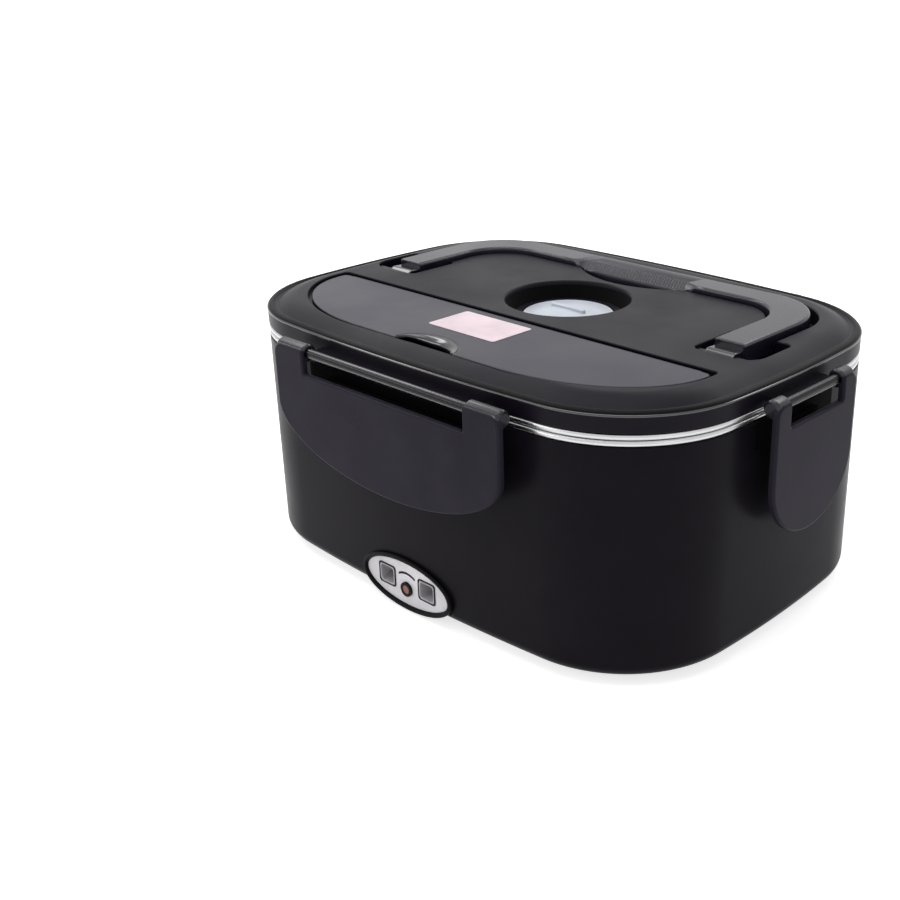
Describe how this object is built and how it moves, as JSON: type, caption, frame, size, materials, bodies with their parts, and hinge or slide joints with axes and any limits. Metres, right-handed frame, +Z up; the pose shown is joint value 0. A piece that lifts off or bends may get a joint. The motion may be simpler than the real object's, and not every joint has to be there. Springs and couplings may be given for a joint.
{
  "type": "electric lunch box",
  "caption": "Heated lunch box with a steel food container, a lift-off lid held by side latches, a carrying handle, a cutlery compartment, a steam valve and a power socket panel.",
  "frame": {"origin": "middle of the footprint, on the plane that the feet stand on", "axes": "+X along the long side to the right as seen from the control panel, -Y out of the control panel, +Z up"},
  "size_m": [0.2466, 0.1868, 0.1074],
  "materials": {
    "shell_black": "satin",
    "tub_grey": "satin",
    "steel": "brushed",
    "base_black": "matte",
    "foot_rubber": "matte",
    "screw_steel": "satin",
    "heater_aluminium": "satin",
    "cutout_white": "matte",
    "lid_black": "satin",
    "panel_white": "gloss",
    "socket_dark": "satin",
    "contact_brass": "polished",
    "lamp_amber": "gloss",
    "board_green": "matte",
    "liner_white": "gloss",
    "seal_white": "matte",
    "valve_white": "satin",
    "cover_black": "gloss",
    "handle_black": "gloss",
    "latch_black": "satin"
  },
  "bodies": {
    "base": {"outer_shell": "shell_black", "inner_tub": "tub_grey", "rim_ring": "steel", "base_plate": "base_black", "foot_front_left": "foot_rubber", "foot_front_right": "foot_rubber", "foot_back_left": "foot_rubber", "foot_back_right": "foot_rubber", "screw_front_left": "screw_steel", "screw_front_right": "screw_steel", "screw_back_left": "screw_steel", "screw_back_right": "screw_steel", "heating_plate": "heater_aluminium", "heating_strip_front": "heater_aluminium", "heating_strip_back": "heater_aluminium", "heater_clamp": "screw_steel", "thermal_cutout": "cutout_white", "panel_frame": "lid_black", "panel_face": "panel_white", "socket_left": "socket_dark", "socket_right": "socket_dark", "contacts_left": "contact_brass", "contacts_right": "contact_brass", "lamp_lens": "lamp_amber", "lamp_led": "lamp_amber", "lamp_board": "board_green"},
    "container": {"food_container": "steel"},
    "lid": {"lid_cover": "lid_black", "lid_liner": "liner_white", "lid_seal": "seal_white", "spoon": "steel", "handle_pin_left": "screw_steel", "handle_pin_right": "screw_steel", "latch_pin_front": "screw_steel", "latch_pin_back": "screw_steel", "latch_pin_left": "screw_steel", "latch_pin_right": "screw_steel"},
    "valve": {"steam_valve": "valve_white"},
    "cover": {"cutlery_cover": "cover_black"},
    "handle": {"handle": "handle_black"},
    "latch_front": {"latch_front": "latch_black"},
    "latch_back": {"latch_back": "latch_black"},
    "latch_left": {"latch_left": "latch_black"},
    "latch_right": {"latch_right": "latch_black"}
  },
  "joints": [
    {"name": "container_lift", "type": "slide", "parent": "base", "child": "container", "axis": [0, 0, 1], "range_m": [0, 0.09]},
    {"name": "lid_lift", "type": "slide", "parent": "container", "child": "lid", "axis": [0, 0, 1], "range_m": [0, 0.12]},
    {"name": "latch_front_hinge", "type": "hinge", "parent": "lid", "child": "latch_front", "pos_m": [0, -0.0896, 0.0961], "axis": [-1, 0, 0], "range_deg": [0, 110]},
    {"name": "latch_back_hinge", "type": "hinge", "parent": "lid", "child": "latch_back", "pos_m": [0, 0.0896, 0.0961], "axis": [1, 0, 0], "range_deg": [0, 110]},
    {"name": "latch_left_hinge", "type": "hinge", "parent": "lid", "child": "latch_left", "pos_m": [-0.1195, 0, 0.0961], "axis": [0, 1, 0], "range_deg": [0, 110]},
    {"name": "latch_right_hinge", "type": "hinge", "parent": "lid", "child": "latch_right", "pos_m": [0.1195, 0, 0.0961], "axis": [0, -1, 0], "range_deg": [0, 110]},
    {"name": "handle_hinge", "type": "hinge", "parent": "lid", "child": "handle", "pos_m": [0, -0.0052, 0.1019], "axis": [1, 0, 0], "range_deg": [0, 90]},
    {"name": "cover_hinge", "type": "hinge", "parent": "lid", "child": "cover", "pos_m": [0, -0.0276, 0.1034], "axis": [-1, 0, 0], "range_deg": [0, 100]},
    {"name": "valve_lift", "type": "slide", "parent": "lid", "child": "valve", "axis": [0, 0, 1], "range_m": [0, 0.003]}
  ]
}
